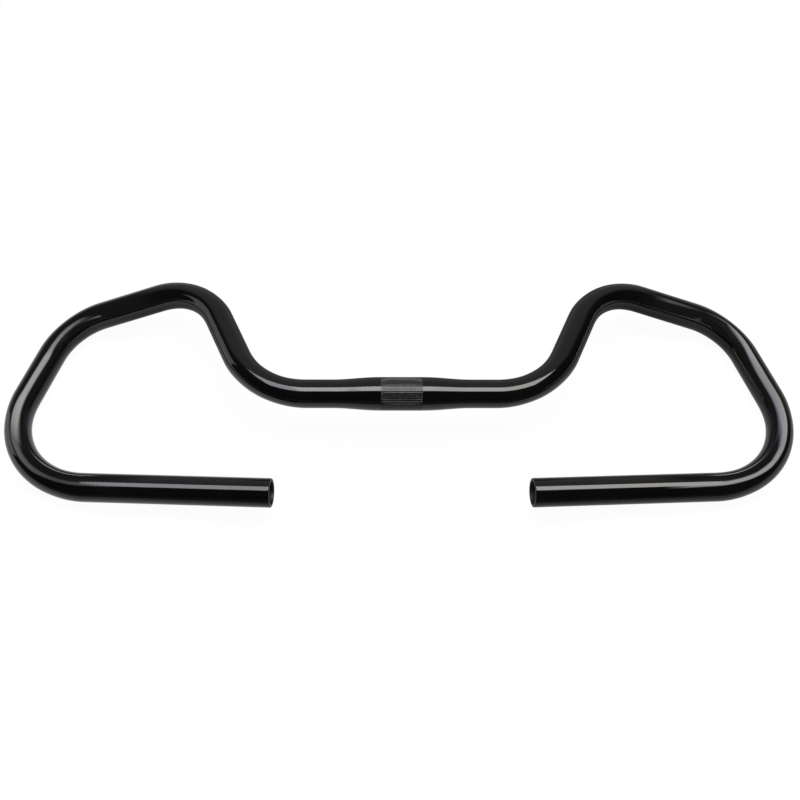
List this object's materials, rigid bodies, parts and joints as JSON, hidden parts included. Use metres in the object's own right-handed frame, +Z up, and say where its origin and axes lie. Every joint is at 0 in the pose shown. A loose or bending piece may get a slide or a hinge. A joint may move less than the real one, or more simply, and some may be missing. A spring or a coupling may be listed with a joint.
{
  "type": "multi-position handlebar",
  "caption": "Closed-loop touring handlebar bent from one tube: knurled clamp seat in the middle, forward reaches, rounded outer loops and inward straight grips with open ends.",
  "frame": {"origin": "centre of the clamp seat, on the tube's axis", "axes": "+X along the seat to the rider's right, +Y forwards, +Z up; the loops lie level and the bar is symmetric about the plane X = 0"},
  "size_m": [0.6304, 0.204, 0.0628],
  "materials": {
    "paint": "gloss black paint on an aluminium tube"
  },
  "bodies": {
    "root": {"handlebar": "paint"}
  },
  "joints": []
}
